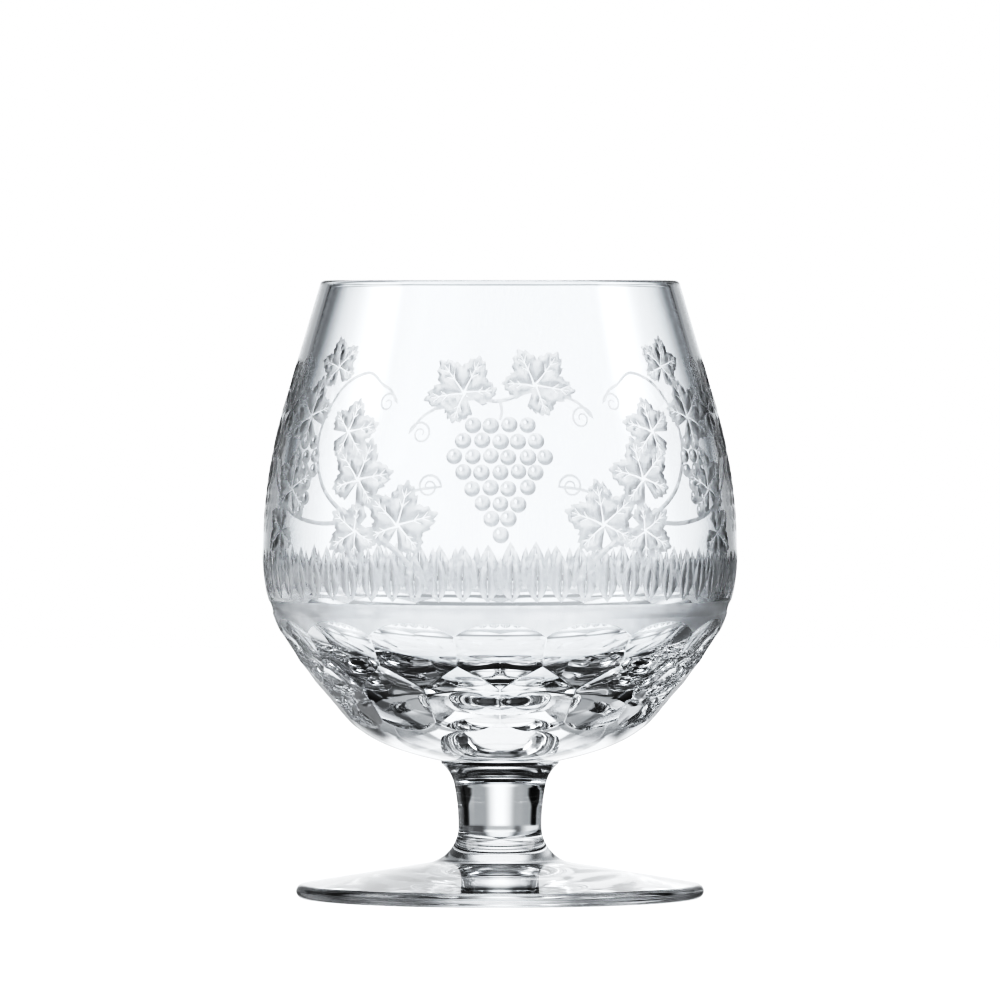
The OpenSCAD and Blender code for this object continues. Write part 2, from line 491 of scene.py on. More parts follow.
def vine_leaf(azimuth, height, angle, size):
    """A matt vine leaf with clear veins. The angle is that of its middle lobe, from level."""
    around = np.linspace(-74, 254, 109)
    edge = np.full(len(around), SINUS)
    for middle, reach, width in LOBES:
        bump = np.maximum(0.0, 1 - np.abs(around - middle) / width)
        edge = np.maximum(edge, SINUS + (reach - SINUS) * bump ** 0.85)
    teeth = TOOTH * (np.arange(len(around)) % 4 - 1.5) / 1.5
    edge = edge * (1 + teeth + hand.uniform(-WOBBLE, WOBBLE, len(around)))
    outline = np.vstack([unit(around) * edge[:, None], [0.0, -0.06]])
    put(turned(outline * size, angle - 90), azimuth, height, matt_cuts)
    for middle, reach, _ in LOBES:
        bend = 0.012 * math.cos(math.radians(middle))
        vein = smooth_path([[0.0, 0.02], [0.3 * reach, bend], [0.84 * reach, 0.0]], 4)
        twig = swelling_line(pairs(np.array([0.0, 0.1, 0.2]) * reach, 0.0), 0.026, 0.012)
        twigs = [turned(twig, side) + [along * reach, 0.0] for along, side in TWIGS]
        for line in [swelling_line(vein, 0.05, 0.016)] + twigs:
            put(turned(turned(line * size, middle), angle - 90), azimuth, height, clear_lines)


def berry(azimuth, height, radius):
    """A round matt dimple with a small clear glint."""
    ring = unit(np.linspace(0, 360, 16, endpoint=False))
    put(ring * radius, azimuth, height, matt_cuts)
    glint = ring[::2] * [0.2, 0.28] + [-0.32, 0.36]
    put(glint * radius, azimuth, height, clear_lines)


def bunch(azimuth, top, rows, radius, lean=0.0):
    """A hanging bunch of berries, in rows that get shorter towards the tip."""
    for row, count in enumerate(rows):
        height = top - row * radius * ROW_PITCH
        for k in range(count):
            across = (k - (count - 1) / 2) * radius * BERRY_PITCH + lean * row
            across += hand.uniform(-LOOSE, LOOSE) * radius
            lift = hand.uniform(-LOOSE, LOOSE) * radius
            degrees = math.degrees(across / radius_at(height))
            berry(azimuth + degrees, height + lift, radius * hand.uniform(0.9, 0.97))


def tendril(start, curl_centre, radius, turns, side):
    """A thin line that runs to a curl and winds up in it."""
    share = np.linspace(0.0, 1.0, 26)
    winding = unit(90 - side * 90 + side * share * turns * 360)
    curl = on_sheet(*curl_centre) + winding * radius * (1 - 0.82 * share)[:, None]
    first = on_sheet(*start)
    lead = smooth_path([first, first * 0.45 + curl[0] * 0.55 + [0.0, 0.9], curl[0]], 5)[:-1]
    matt_cuts.append(swelling_line(np.vstack([lead, curl]), TENDRIL, TENDRIL * 0.45))


def cane(points, thick, thin):
    """A stem of the vine through points given as angle and height."""
    path = smooth_path([on_sheet(*p) for p in points], 7)
    matt_cuts.append(swelling_line(path, thick, thin))


# %% [markdown]
# The composition has a hanging sprig in the middle and a rising vine on each side. Below them a matt ground
# fills the space between the lens arches, and a border of upright leaves stands on it. Both run right round
# the bowl. The two sides are mirrored, with small differences, as a hand would make them.

# %% Matt ground and border of upright leaves
GROUND = length_at(60.4)
BORDER_LEAVES, LEAF_FOOT, BUD_FOOT = 60, 60.9, 63.6
for k in range(BORDER_LEAVES):
    turn = (k + 0.5) * 360 / BORDER_LEAVES - 180
    tall = 10.0 + hand.uniform(-0.5, 0.5)
    put(turned(olive(tall, 4.3, 11, -0.25), 90 + hand.uniform(-4, 4)), turn, LEAF_FOOT, matt_cuts)
    rib = swelling_line(pairs([1.0, tall * 0.5, tall * 0.86], 0.0), 0.32, 0.12)
    put(turned(rib, 90), turn, LEAF_FOOT, clear_lines)
    # The last bud would lie across the seam of the sheet
    if k < BORDER_LEAVES - 1:
        bud = turned(olive(6.4, 1.6, 7), 90 + hand.uniform(-6, 6))
        put(bud, turn + 180 / BORDER_LEAVES, BUD_FOOT, matt_cuts)

# %% Sprig in the middle and a vine on each side
cane([(-17, 99.5), (-8, 101.5), (0, 101), (9, 103), (17, 102)], 0.9, 0.7)
cane([(0, 101), (0.5, 99), (0, 97.2)], 0.7, 0.5)
bunch(0, 96.2, (4, 5, 6, 5, 4, 3, 2, 1), 1.75)
vine_leaf(-9.5, 102.6, 128, 8.6)
vine_leaf(9.5, 104.0, 52, 8.6)
tendril((-17, 99.5), (-20.5, 94.5), 2.6, 1.6, -1)
tendril((17, 102), (21.5, 97.5), 2.6, 1.6, +1)

LONG_CANE = [(20, 66.5), (27, 72), (38, 77), (49, 84), (53, 94), (48, 103), (39, 106.5), (33, 104)]
SHORT_CANE = [(38, 77), (50, 76.5), (63, 79), (74, 86), (80, 95), (76, 104)]
SIDE_LEAVES = [
    (26, 76.5, 100, 9.2), (38, 85.5, 105, 8.8), (43, 95, 165, 7.6), (58, 97.5, 40, 8.8), (37, 75, -28, 7.6),
    (62, 83, 95, 8.6), (66, 74.5, -25, 7.4), (84, 90, 25, 8.8), (72, 99, 150, 7.6), (86, 103, 60, 7.6),
    (51, 107.5, 75, 6.6),
]
for side in (-1, 1):
    drift = hand.uniform(-0.8, 0.8, 16)
    for points, thick in ((LONG_CANE, 1.25), (SHORT_CANE, 0.95)):
        cane([(side * turn, height) for turn, height in points], thick, 0.5)
    for (turn, height, angle, size), shift in zip(SIDE_LEAVES, drift):
        mirror_angle = angle if side > 0 else 180 - angle
        vine_leaf(side * (turn + shift), height + shift * 0.4, mirror_angle + 4 * shift, size)
    bunch(side * 57, 92.5, (2, 3, 3, 2, 2, 1), 1.55, 0.1 * side)
    bunch(side * 88, 86, (2, 3, 3, 2, 1), 1.5, 0.1 * side)
    tendril((side * 33, 104), (side * 31, 100.5), 2.3, 1.4, -side)
    tendril((side * 30, 80), (side * 17.5, 84.0), 2.6, 1.7, -side)
    tendril((side * 76, 104), (side * 71, 107.5), 2.3, 1.5, -side)
print("cuts:", len(matt_cuts), "clear lines:", len(clear_lines))

# %% [markdown]
# ## From the drawing to the wall
#
# A constrained triangulation keeps every outline as edges of the mesh. Clear glass gets an even grid of
# points, and each cut gets points inside it, which are pushed into the glass: steeply at the outline and then
# levelling out, as the round edge of a wheel leaves it.

# %% Points and outlines for the triangulation
SHEET_HALF = math.pi * ROUND_R
CREASE_ROWS, GRID_ROWS, GRID_COLUMNS = 4, 54, 240
GRAIN, GRAIN_ROW, GRAIN_LOW, GRAIN_TOP, GRAIN_MARGIN = 0.62, 0.87, 0.5, 56.0, 1.0
OUTLINE_STEP, EDGE_STEP = 0.8, 0.16
CLEAR_GAP, CUT_GAP, NO_GAP = 0.34, 0.3, 1e-4
CUT_DEPTH, CUT_FALL = 0.3, 0.55

half_count = CUT_COUNT // 2
ring_turn = np.concatenate([k * PITCH + pitch_turn[:-1] for k in range(-half_count, half_count + 1)])
columns = np.append(np.radians(ring_turn) * ROUND_R, SHEET_HALF)
levels = np.unique(np.concatenate([
    np.linspace(0, CREASE, CREASE_ROWS + 1), np.linspace(CREASE, WALL_TOP, GRID_ROWS + 1)]).round(6))


def resampled(outline, spacing):
    """Outline with its long sides divided, so that no side is much longer than the spacing."""
    points = []
    for a, b in zip(outline, np.roll(outline, -1, axis=0)):
        steps = max(1, math.ceil(np.linalg.norm(b - a) / spacing))
        points.extend(a + (b - a) * k / steps for k in range(steps))
    return np.array(points)


outlines = [resampled(o, OUTLINE_STEP) for o in matt_cuts + clear_lines]
matt_outlines, clear_outlines = outlines[:len(matt_cuts)], outlines[len(matt_cuts):]
edge_points = np.concatenate([resampled(o, EDGE_STEP) for o in outlines])
edge_tree = kdtree.KDTree(len(edge_points))
for number, (x, y) in enumerate(edge_points):
    edge_tree.insert((x, y, 0.0), number)
edge_tree.balance()


def edge_gap(points):
    """Distance of each point from the nearest outline."""
    return np.array([edge_tree.find((x, y, 0.0))[2] for x, y in points])


def inside(outline, points):
    """Which points lie inside an outline, by the number of turns that it makes round them."""
    x, y = points.T
    turns = np.zeros(len(points), int)
    for (ax, ay), (bx, by) in zip(outline, np.roll(outline, -1, axis=0)):
        left = (bx - ax) * (y - ay) - (x - ax) * (by - ay)
        turns += (ay <= y) & (by > y) & (left > 0)
        turns -= (ay > y) & (by <= y) & (left < 0)
    return turns != 0


def inside_any(shapes, points):
    """Which points lie inside at least one of several outlines."""
    found = np.zeros(len(points), bool)
    for shape in shapes:
        low, high = shape.min(0), shape.max(0)
        near = np.flatnonzero(((points > low) & (points < high)).all(1) & ~found)
        if len(near):
            found[near] = inside(shape, points[near])
    return found


def away_from(level, gap, points):
    """Which points keep a gap from a level of the sheet."""
    return np.abs(points[:, 1] - level) > gap


# %% Triangulate the sheet
even_columns = np.linspace(-SHEET_HALF, SHEET_HALF, GRID_COLUMNS + 1)
grid_points = pairs(*np.meshgrid(even_columns[1:-1], levels[1:-1]))
grid_points = grid_points[
    away_from(CREASE, NO_GAP, grid_points) & away_from(GROUND, CUT_GAP, grid_points)
    & (edge_gap(grid_points) > CLEAR_GAP)]
fine_x, fine_y = np.meshgrid(
    np.arange(-SHEET_HALF + GRAIN_MARGIN, SHEET_HALF - GRAIN_MARGIN, GRAIN),
    np.arange(GRAIN_LOW, GRAIN_TOP, GRAIN * GRAIN_ROW))
fine_x[1::2] += GRAIN / 2
fine_points = pairs(fine_x, fine_y)
fine_points = fine_points[inside_any(matt_outlines, fine_points) | (fine_points[:, 1] < GROUND)]
fine_points = fine_points[(edge_gap(fine_points) > CUT_GAP) & away_from(GROUND, CUT_GAP, fine_points)]

sheet_frame = np.concatenate([
    pairs(columns, 0.0),
    pairs(SHEET_HALF, levels)[1:],
    pairs(columns[::-1], WALL_TOP)[1:],
    pairs(-SHEET_HALF, levels[::-1])[1:-1],
])
closed = [(ring, len(ring)) for ring in [sheet_frame] + outlines]
opened = [(pairs(columns, level), len(columns) - 1) for level in (GROUND, CREASE)]
chunks, sides, start = [], [], 0
for line, count in closed + opened:
    chunks.append(line)
    sides.extend((start + k, start + (k + 1) % len(line)) for k in range(count))
    start += len(line)
flat_in = [Vector(p) for p in np.concatenate(chunks + [grid_points, fine_points])]
flat_out, _, triangles, *_ = delaunay_2d_cdt(flat_in, sides, [], 0, 1e-5, False)
sheet = np.array([tuple(p) for p in flat_out])
triangles = np.array(triangles)
on_seam = SHEET_HALF - np.abs(sheet[:, 0]) < 1e-3
triangles = triangles[~on_seam[triangles].all(1)]
print("sheet points:", len(sheet), "triangles:", len(triangles))

# %% Roll the sheet up
middles = sheet[triangles].mean(1)
matt = inside_any(matt_outlines, middles) | (middles[:, 1] < GROUND)
matt &= ~inside_any(clear_outlines, middles)
first, second = (sheet[triangles[:, k]] - sheet[triangles[:, 0]] for k in (1, 2))
spin = first[:, 0] * second[:, 1] - first[:, 1] * second[:, 0]
triangles[spin < 0] = triangles[spin < 0][:, ::-1]

across, along = sheet.T
cut_in = np.zeros(len(sheet), bool)
cut_in[triangles[matt]] = True
cut_in[triangles[~matt]] = False
from_edge = np.minimum(edge_gap(sheet), np.minimum(along, np.abs(along - GROUND)))
depth = np.where(cut_in, CUT_DEPTH * (1 - np.exp(-from_edge / CUT_FALL)), 0.0)
profile, away = wall_at(along, along < CREASE - NO_GAP)

low_face = np.repeat((middles[:, 1] < CREASE)[:, None], 3, axis=1)
corner_normal = swung(wall_at(along[triangles], low_face)[1], 0.0)
corner_normal[matt] = 0.0
wall_patch = {
    "place": swung(profile - away * depth[:, None], across / ROUND_R + math.radians(FRONT)),
    "faces": triangles,
    "normal": corner_normal,
    "finish": np.where(matt, ENGRAVED, CLEAR),
}
print("engraved share of the wall:", round(np.abs(spin[matt]).sum() / np.abs(spin).sum(), 3))

# %% [markdown]
# ## Turning a slice into a piece
#
# A turned piece is the same slice, over and over, so a Geometry Nodes tree does the turning: it puts copies
# of the slice round the axis, adds a part that isn't repeated where there is one, makes them real, welds the
# seams, and gives each finish its material. The bowl uses fifteen slices, one for each lens, and the engraved
# wall as the part that isn't repeated. Stem and foot use narrow slices.

# %% Node helpers
NOISE, MATH, RANGE = "ShaderNodeTexNoise", "ShaderNodeMath", "ShaderNodeMapRange"


def feed(tree, node, inputs):
    """Feeds a node's inputs, by name or number, from values, outputs or nodes' first outputs."""
    for socket, value in inputs.items():
        value = value.outputs[0] if isinstance(value, bpy.types.Node) else value
        if isinstance(value, bpy.types.NodeSocket):
            tree.links.new(value, node.inputs[socket])
        else:
            node.inputs[socket].default_value = value


def add_node(tree, kind, inputs=None, **settings):
    """A node with its settings and its inputs."""
    made = tree.nodes.new(kind)
    for key, value in settings.items():
        setattr(made, key, value)
    feed(tree, made, inputs or {})
    return made


def new_group(name, kind, inputs, outputs):
    """A node group with sockets of given kinds, a maker of its nodes, and the outputs of its input node."""
    tree = bpy.data.node_groups.new(name, kind)
    for in_out, sockets in (("INPUT", inputs), ("OUTPUT", outputs)):
        for socket, socket_kind in sockets.items():
            tree.interface.new_socket(socket, in_out=in_out, socket_type="NodeSocket" + socket_kind)
    add = partial(add_node, tree)
    return tree, add, add("NodeGroupInput").outputs


# %% The turning tree
inputs = {"Slice": "Geometry", "Copies": "Int", "Weld Distance": "Float", "Unrepeated Part": "Object"}
inputs.update(dict.fromkeys(FINISH_NAMES, "Material"))
turned_glass, add, given = new_group("turned_glass", "GeometryNodeTree", inputs, {"Piece": "Geometry"})
points = add("GeometryNodePoints", {"Count": given["Copies"]})
index = add("GeometryNodeInputIndex")
step = add(MATH, {0: index, 1: given["Copies"]}, operation="DIVIDE")
angle = add(MATH, {0: step, 1: 2 * math.pi}, operation="MULTIPLY")
turn = add("ShaderNodeCombineXYZ", {"Z": angle})
copies = add("GeometryNodeInstanceOnPoints", {
    "Points": points, "Instance": given["Slice"], "Rotation": turn})
part = add("GeometryNodeObjectInfo", {"Object": given["Unrepeated Part"]})
joined = add("GeometryNodeJoinGeometry", {0: part.outputs["Geometry"]})
feed(turned_glass, joined, {0: copies})
real = add("GeometryNodeRealizeInstances", {0: joined})
last = add("GeometryNodeMergeByDistance", {"Geometry": real, "Distance": given["Weld Distance"]})
kind = add("GeometryNodeInputNamedAttribute", {"Name": "finish"}, data_type="INT")
for number, name in enumerate(FINISH_NAMES):
    same = add("FunctionNodeCompare", {2: kind, 3: number}, data_type="INT", operation="EQUAL")
    last = add("GeometryNodeSetMaterial", {
        "Geometry": last, "Selection": same, "Material": given[name]})
add("NodeGroupOutput", {0: last})
print("turning tree:", len(turned_glass.nodes), "nodes")

# %% [markdown]
# ## Finishes
#
# Crystal has almost no colour of its own. What makes it look real is what its surface does: blown glass is
# very slightly wavy, it has faint cords where the gather was turned, and a film from handling. Those effects
# are shared, so they are one node group, and each clear finish uses it with its own values. A second group
# gives the grit of the engraving wheel.

# %% Waves, cords and film of blown glass
def effect_group(name, inputs):
    """A shader group for a height and a roughness, from a position and named inputs, with its node maker."""
    inputs = {"Position": "Vector", **dict.fromkeys(inputs, "Float")}
    return new_group(name, "ShaderNodeTree", inputs, {"Height": "Float", "Roughness": "Float"})


blown_glass, add, given = effect_group("blown_glass", ("Wave Scale", "Cord Scale", "Film Roughness"))
position = given["Position"]
waves = add(NOISE, {"Vector": position, "Scale": given["Wave Scale"], "Detail": 1.0, "Roughness": 0.4})
flatten = add("ShaderNodeMapping", {"Vector": position, "Scale": (0.25, 0.25, 1.6)})
cords = add(NOISE, {"Vector": flatten, "Scale": given["Cord Scale"], "Detail": 0.0})
faint = add(MATH, {0: cords, 1: 0.12}, operation="MULTIPLY")
both = add(MATH, {0: waves, 1: faint}, operation="ADD")
film = add(NOISE, {"Vector": position, "Scale": 38.0, "Detail": 4.0, "Roughness": 0.6})
patchy = add(RANGE, {"Value": film, "From Min": 0.52, "From Max": 0.78})
rough = add(MATH, {0: patchy, 1: given["Film Roughness"]}, operation="MULTIPLY")
add("NodeGroupOutput", {"Height": both, "Roughness": rough})
print("blown glass:", len(blown_glass.nodes), "nodes")

# %% Grain of the engraving wheel
wheel_grain, add, given = effect_group("wheel_grain", ("Grain Scale", "Low Roughness", "High Roughness"))
position = given["Position"]
grit = add(NOISE, {"Vector": position, "Scale": given["Grain Scale"], "Detail": 3.0, "Roughness": 0.65})
stretch = add("ShaderNodeMapping", {
    "Vector": position, "Rotation": (0.5, 0.35, 0.2), "Scale": (1.0, 1.0, 0.16)})
strokes = add(NOISE, {"Vector": stretch, "Scale": 2600.0, "Detail": 1.0})
both = add(MATH, {0: grit, 1: strokes}, operation="ADD")
cloud = add(NOISE, {"Vector": position, "Scale": 420.0, "Detail": 2.0})
spread = add(RANGE, {
    "Value": cloud, "From Min": 0.3, "From Max": 0.7,
    "To Min": given["Low Roughness"], "To Max": given["High Roughness"]})
add("NodeGroupOutput", {"Height": both, "Roughness": spread})
print("wheel grain:", len(wheel_grain.nodes), "nodes")

# %% Crystal, lens polish, matt engraving and fused joint
GLASS_IOR = 1.545
COOL_WHITE = (0.975, 0.988, 1.0, 1.0)
MATT_WHITE = (0.96, 0.97, 0.98, 1.0)
MICRON = 0.000001


def new_material(name):
    """A material and its node tree."""
    material = bpy.data.materials.new(name)
    material.use_nodes = True
    return material, material.node_tree


def glass_finish(name, tint, effect, bump_depth, values):
    """A transmitting glass whose normal and roughness come from one of the shared groups."""
    material, tree = new_material(name)
    where = add_node(tree, "ShaderNodeTexCoord").outputs["Object"]
    group = add_node(tree, "ShaderNodeGroup", {"Position": where, **values}, node_tree=effect).outputs
    bump = add_node(tree, "ShaderNodeBump", {
        "Strength": 1.0, "Distance": bump_depth, "Height": group["Height"]})
    feed(tree, tree.nodes["Principled BSDF"], {
        "Base Color": tint, "IOR": GLASS_IOR, "Transmission Weight": 1.0,
        "Roughness": group["Roughness"], "Normal": bump})
    return material


clear_crystal = glass_finish(
    "clear_crystal", COOL_WHITE, blown_glass, 12 * MICRON,
    {"Wave Scale": 45.0, "Cord Scale": 160.0, "Film Roughness": 0.02})
lens_polish = glass_finish(
    "lens_polish", COOL_WHITE, blown_glass, 2 * MICRON,
    {"Wave Scale": 240.0, "Cord Scale": 700.0, "Film Roughness": 0.01})
matt_engraving = glass_finish(
    "matt_engraving", MATT_WHITE, wheel_grain, 30 * MICRON,
    {"Grain Scale": 5200.0, "Low Roughness": 0.3, "High Roughness": 0.46})

fused_joint, joint_tree = new_material("fused_joint")
joint_tree.nodes.clear()
see_through = add_node(joint_tree, "ShaderNodeBsdfTransparent")
add_node(joint_tree, "ShaderNodeOutputMaterial", {"Surface": see_through})

FINISHES = dict(zip(FINISH_NAMES, (clear_crystal, matt_engraving, fused_joint, lens_polish)))
print("finishes:", {finish: material.name for finish, material in FINISHES.items()})

# %% [markdown]
# ## The three pieces
#
# Where two gathers are fused there is no air between them, so light runs straight through. The faces of a
# joint close each piece, and a clear finish keeps them out of sight.

# %% Finish a turned piece
WELD = 0.002 * MM


def read(items, field, kind, width=1):
    """A field of every item of a mesh, as an array with one row for each."""
    values = np.zeros(len(items) * width, kind)
    items.foreach_get(field, values)
    return values if width == 1 else values.reshape(-1, width).astype(float)


def set_exact_normals(mesh):
    """Turns the kept normals round with their corners, and makes the edge between two finishes sharp."""
    place = read(mesh.vertices, "co", np.float32, 3)[read(mesh.loops, "vertex_index", np.int32)]
    kept = read(mesh.attributes["turned_normal"].data, "vector", np.float32, 3)
    normals = spun(kept, np.arctan2(place[:, 1], place[:, 0]))
    finish = read(mesh.attributes["finish"].data, "value", np.int32)
    corner_finish = np.repeat(finish, read(mesh.polygons, "loop_total", np.int32))
    edge = read(mesh.loops, "edge_index", np.int32)
    lowest = np.full(len(mesh.edges), len(FINISH_NAMES))
    highest = np.full(len(mesh.edges), -1)
    np.minimum.at(lowest, edge, corner_finish)
    np.maximum.at(highest, edge, corner_finish)
    mesh.polygons.foreach_set("use_smooth", np.ones(len(mesh.polygons), bool))
    mesh.edges.foreach_set("use_edge_sharp", lowest != highest)
    mesh.normals_split_custom_set([tuple(n) for n in normals])
    mesh.attributes.remove(mesh.attributes["turned_normal"])
    mesh.update()


def turned_piece(name, node, patches, copies, unrepeated=None):
    """Runs the turning tree on a slice, sets the exact normals, and puts the piece in its solid's place."""
    maker = put_in_scene(name + "_slice", patches_to_mesh(name + "_slice", patches))
    modifier = maker.modifiers.new("turn", "NODES")
    modifier.node_group = turned_glass
    values = {"Copies": copies, "Weld Distance": WELD, "Unrepeated Part": unrepeated, **FINISHES}
    for socket in turned_glass.interface.items_tree:
        if values.get(socket.name) is not None:
            modifier[socket.identifier] = values[socket.name]
    ready = bpy.context.evaluated_depsgraph_get()
    mesh = bpy.data.meshes.new_from_object(
        maker.evaluated_get(ready), preserve_all_data_layers=True, depsgraph=ready)
    bpy.data.objects.remove(maker)
    set_exact_normals(mesh)
    mesh.name = name
    piece = put_in_scene(name, mesh)
    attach(piece, "root")
    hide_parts(node)
    print(name, "faces:", len(mesh.polygons), "materials:", [m.name for m in mesh.materials if m])


# %% [markdown]
# The bowl's slice covers one lens: the joint with the stem, the rounded base, the lens band, the rim and the
# hollow.

# %% Bowl
COLLAR_R, BLEND_R = 11.9, 17.0
collar_angle = math.degrees(math.asin(COLLAR_R / BASE_R)) - 90
blend_angle = math.degrees(math.asin(BLEND_R / BASE_R)) - 90
blend_start = base_centre + BASE_R * unit(blend_angle)
blend_end = band_centre + band_r * unit(-BLEND_ANGLE)
inner_bend = shoulder_centre + (SHOULDER_R - WALL) * wall_out
inner_top = rim_centre - WALL / 2 * wall_out

bowl_patches = band_patches + turned_patches(
    FRONT + pitch_turn,
    (JOINT, arc_points(base_centre, BASE_R, -90, collar_angle, 6)),
    (CLEAR, arc_points(base_centre, BASE_R, collar_angle, blend_angle, 6)),
    (CLEAR, blended_points(blend_start, blend_angle, blend_end, -BLEND_ANGLE, 14)),
    (CLEAR, arc_points(rim_centre, WALL / 2, WALL_LEAN, WALL_LEAN + 180, 14)),
    (CLEAR, straight_points(inner_top, inner_bend, -wall_out, 16)),
    (CLEAR, hollow_arc(shoulder_centre, SHOULDER_R - WALL, WALL_LEAN, 0, 14)),
    (CLEAR, hollow_arc(hollow_flank_centre, HOLLOW_FLANK_R, 0, -hollow_turn, 16)),
    (CLEAR, hollow_arc(hollow_base_centre, hollow_base_r, -hollow_turn, -90, 20)),
)
wall_object = put_in_scene("engraved_wall", patches_to_mesh("engraved_wall", [wall_patch]))
turned_piece("bowl_crystal", "bowl", bowl_patches, CUT_COUNT, wall_object)
bpy.data.objects.remove(wall_object)

# %% Stem and foot arcs
WAIST = np.array([8.4, 14.5])
STEM_CURVE_R, COLLAR_DROP, COLLAR_CURVE_R = 43.5, 3.8, 7.5
FOOT_R, EDGE_R, FOOT_CURVE_R = 41.3, 1.45, 7.5
JOINT_Z, REST_RING, HOLLOW_DEPTH = 9.8, 5.0, 0.8

stem_curve_centre = WAIST + [STEM_CURVE_R, 0.0]
stem_turn = math.degrees(math.asin((BOTTOM_Z - COLLAR_DROP - WAIST[1]) / STEM_CURVE_R))
collar_start = stem_curve_centre + STEM_CURVE_R * unit(180 - stem_turn)
collar_centre = collar_start + COLLAR_CURVE_R * unit(-stem_turn)
collar_turn = math.degrees(math.acos((collar_centre[0] - COLLAR_R) / COLLAR_CURVE_R))
collar_end = collar_centre + COLLAR_CURVE_R * unit(180 - collar_turn)
lip_end = base_centre + BASE_R * unit(collar_angle)

foot_curve_centre = WAIST + [FOOT_CURVE_R, 0.0]
edge_centre = np.array([FOOT_R - EDGE_R, EDGE_R])
reach = edge_centre - foot_curve_centre
cone_angle = math.degrees(
    math.atan2(reach[1], reach[0]) + math.asin((FOOT_CURVE_R + EDGE_R) / np.linalg.norm(reach)))
joint_turn = 180 + math.degrees(math.asin((WAIST[1] - JOINT_Z) / FOOT_CURVE_R))
joint_ring = foot_curve_centre + FOOT_CURVE_R * unit(joint_turn)
cone_top = foot_curve_centre + FOOT_CURVE_R * unit(cone_angle + 270)
cone_foot = edge_centre + EDGE_R * unit(cone_angle + 90)
print("stem joins the foot at", joint_ring.round(2), "cone in degrees", round(cone_angle, 2))

# %% Stem
RING_STEPS = 240
narrow = np.array([0.0, 360.0 / RING_STEPS])
turned_piece("stem_crystal", "stem", turned_patches(
    narrow,
    (JOINT, straight_points([0.0, JOINT_Z], joint_ring, [0.0, -1.0], 5)),
    (CLEAR, hollow_arc(foot_curve_centre, FOOT_CURVE_R, joint_turn, 180, 14)),
    (CLEAR, hollow_arc(stem_curve_centre, STEM_CURVE_R, 180, 180 - stem_turn, 14)),
    (CLEAR, hollow_arc(collar_centre, COLLAR_CURVE_R, 180 - stem_turn, 180 - collar_turn, 16)),
    (CLEAR, straight_points(collar_end, lip_end, [1.0, 0.0], 2)),
    (JOINT, hollow_arc(base_centre, BASE_R, collar_angle, -90, 6)),
), RING_STEPS)

# %% Foot
ring_inner = np.array([edge_centre[0] - REST_RING, 0.0])
cone_under = unit_length(np.array([-HOLLOW_DEPTH, -ring_inner[0]]))
turned_piece("foot_crystal", "foot", turned_patches(
    narrow,
    (CLEAR, straight_points([0.0, HOLLOW_DEPTH], ring_inner, cone_under, 14)),
    (CLEAR, straight_points(ring_inner, [edge_centre[0], 0.0], [0.0, -1.0], 3)),
    (CLEAR, arc_points(edge_centre, EDGE_R, -90, cone_angle + 90, 18)),
    (CLEAR, straight_points(cone_foot, cone_top, unit(cone_angle + 90), 16)),
    (CLEAR, hollow_arc(foot_curve_centre, FOOT_CURVE_R, cone_angle + 270, joint_turn, 14)),
    (JOINT, straight_points(joint_ring, [0.0, JOINT_Z], [0.0, 1.0], 5)),
), RING_STEPS)

# %% [markdown]
# ## Floor and light
#
# Glass has no colour to light: it shows what is around it, bent. Product photographs of glass put a bright
# panel right behind it and keep the sides dark, so that the edges, which bend the light most, draw themselves
# as dark lines. Here the room has four such panels, a quarter turn apart, with dark gaps between, so that the
# glass looks alike from every side. Strips and corners below the table's level light the base and the lens
# cuts, and lamps high up at the sides and far down at the corners make the cuts sparkle. The camera itself
# sees only white.

# %% Floor
FLOOR_HALF = 1.6
WHITE = (1.0, 1.0, 1.0, 1.0)
TABLE_GREY = (0.6, 0.6, 0.6, 1.0)
floor_mesh = bpy.data.meshes.new("light_table")
corners = [(x * FLOOR_HALF, y * FLOOR_HALF, 0) for x, y in ((-1, -1), (1, -1), (1, 1), (-1, 1))]
floor_mesh.from_pydata(corners, [], [(0, 1, 2, 3)])
light_table = put_in_scene("light_table", floor_mesh)
light_table.location.z = -0.0001
light_table.visible_transmission = False
light_table.visible_glossy = False
table_finish, table_tree = new_material("white_table")
feed(table_tree, table_tree.nodes["Principled BSDF"], {
    "Base Color": TABLE_GREY, "Roughness": 0.9, "Emission Color": WHITE, "Emission Strength": 1.0})
floor_mesh.materials.append(table_finish)
print("floor half width in m:", FLOOR_HALF)

# %% Room of panels and gaps
TO_DEGREES = 180 / math.pi
world = bpy.data.worlds.new("panel_room")
scene.world = world
world.use_nodes = True
room = world.node_tree
room.nodes.clear()


def math_node(operation, *values):
    """A math node of the room, fed from numbers or from other nodes."""
    return add_node(room, MATH, dict(enumerate(values)), operation=operation)


def ramp(value, start, end, low, high):
    """A smooth ramp from low at start to high at end."""
    inputs = {"Value": value, "From Min": start, "From Max": end, "To Min": low, "To Max": high}
    return add_node(room, RANGE, inputs, interpolation_type="SMOOTHSTEP")


def degrees_from(repeats, first=0.0):
    """Angle in degrees from the nearest of several places, evenly spaced round the room."""
    beyond = math_node("SUBTRACT", azimuth, math.radians(first))
    folded = math_node("ARCCOSINE", math_node("COSINE", product(beyond, repeats)))
    return product(folded, TO_DEGREES / repeats)


product = partial(math_node, "MULTIPLY")
total = partial(math_node, "ADD")
where = add_node(room, "ShaderNodeTexCoord").outputs["Generated"]
towards_x, towards_y, towards_z = add_node(room, "ShaderNodeSeparateXYZ", {0: where}).outputs
azimuth = math_node("ARCTAN2", towards_y, towards_x)
rise = product(math_node("ARCSINE", towards_z), TO_DEGREES)
far_side = ramp(math_node("SUBTRACT", towards_y, towards_x), -0.3, 0.3, 0.0, 1.0)

